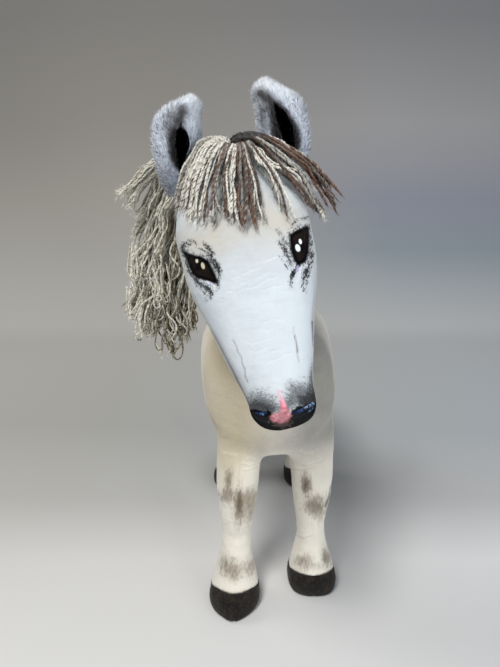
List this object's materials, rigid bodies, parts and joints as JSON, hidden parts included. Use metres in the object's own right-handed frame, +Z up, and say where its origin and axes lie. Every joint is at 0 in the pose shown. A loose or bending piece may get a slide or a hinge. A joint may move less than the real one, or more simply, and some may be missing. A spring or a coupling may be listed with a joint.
{
  "type": "plush horse",
  "caption": "Stuffed plush horse standing on soft suede-hoofed legs, with painted face, furry ears and yarn forelock, mane and tail; wire armature lets legs, neck and head be posed.",
  "frame": {"origin": "under the middle of the bounding box, on the floor that the soles stand on", "axes": "+Z up, the horse faces -Y, and its left side is +X"},
  "size_m": [0.1854, 0.3874, 0.4096],
  "materials": {
    "white_plush": "short-pile plush",
    "stuffing": "loose polyester fibre",
    "hoof_suede": "brushed suede-like fabric",
    "grey_plush": "longer frosted pile",
    "ear_lining": "airbrushed plush",
    "forelock_yarn": "two-ply marled yarn",
    "mane_yarn": "two-ply marled yarn",
    "armature_wire": "plain bent wire"
  },
  "bodies": {
    "torso": {"torso_cover": "white_plush", "torso_stuffing": "stuffing", "spine_wire": "armature_wire", "shoulder_wire": "armature_wire", "hip_wire": "armature_wire", "neck_pivot_wire": "armature_wire"},
    "neck": {"mane_lock_1": "mane_yarn", "mane_lock_2": "mane_yarn", "mane_lock_3": "mane_yarn", "mane_lock_4": "mane_yarn", "neck_cover": "white_plush", "neck_stuffing": "stuffing", "neck_wire": "armature_wire"},
    "head": {"ear_left_lining": "ear_lining", "ear_left_outer": "grey_plush", "ear_right_lining": "ear_lining", "ear_right_outer": "grey_plush", "forelock_left": "forelock_yarn", "forelock_right": "forelock_yarn", "forelock_wrap": "forelock_yarn", "head_cover": "white_plush", "head_stuffing": "stuffing", "head_wire": "armature_wire"},
    "tail": {"tail_lock_1": "mane_yarn", "tail_lock_2": "mane_yarn", "tail_lock_3": "mane_yarn"},
    "front_left_leg": {"front_left_leg_cover": "white_plush", "front_left_leg_hoof": "hoof_suede", "front_left_leg_sole": "hoof_suede", "front_left_leg_stuffing": "stuffing", "front_left_leg_wire": "armature_wire"},
    "front_right_leg": {"front_right_leg_cover": "white_plush", "front_right_leg_hoof": "hoof_suede", "front_right_leg_sole": "hoof_suede", "front_right_leg_stuffing": "stuffing", "front_right_leg_wire": "armature_wire"},
    "hind_left_leg": {"hind_left_leg_cover": "white_plush", "hind_left_leg_hoof": "hoof_suede", "hind_left_leg_sole": "hoof_suede", "hind_left_leg_stuffing": "stuffing", "hind_left_leg_wire": "armature_wire"},
    "hind_right_leg": {"hind_right_leg_cover": "white_plush", "hind_right_leg_hoof": "hoof_suede", "hind_right_leg_sole": "hoof_suede", "hind_right_leg_stuffing": "stuffing", "hind_right_leg_wire": "armature_wire"}
  },
  "joints": [
    {"name": "neck_nod", "type": "hinge", "parent": "torso", "child": "neck", "pos_m": [0.02621, -0.03945, 0.21], "axis": [1, 0, 0], "range_deg": [-10, 10]},
    {"name": "head_turn", "type": "hinge", "parent": "neck", "child": "head", "pos_m": [0.01421, -0.08245, 0.306], "axis": [-0.1133, -0.4061, 0.9068], "range_deg": [-15, 15]},
    {"name": "front_left_leg_swing", "type": "hinge", "parent": "torso", "child": "front_left_leg", "pos_m": [0.06041, -0.06945, 0.15], "axis": [1, 0, 0], "range_deg": [-12, 12]},
    {"name": "front_right_leg_swing", "type": "hinge", "parent": "torso", "child": "front_right_leg", "pos_m": [0.00301, -0.06945, 0.15], "axis": [1, 0, 0], "range_deg": [-12, 12]},
    {"name": "hind_left_leg_swing", "type": "hinge", "parent": "torso", "child": "hind_left_leg", "pos_m": [0.06021, 0.11055, 0.158], "axis": [1, 0, 0], "range_deg": [-12, 12]},
    {"name": "hind_right_leg_swing", "type": "hinge", "parent": "torso", "child": "hind_right_leg", "pos_m": [0.00021, 0.11055, 0.158], "axis": [1, 0, 0], "range_deg": [-12, 12]},
    {"name": "tail_swing", "type": "hinge", "parent": "torso", "child": "tail", "pos_m": [0.03021, 0.15055, 0.2306], "axis": [1, 0, 0], "range_deg": [-6, 35]}
  ]
}
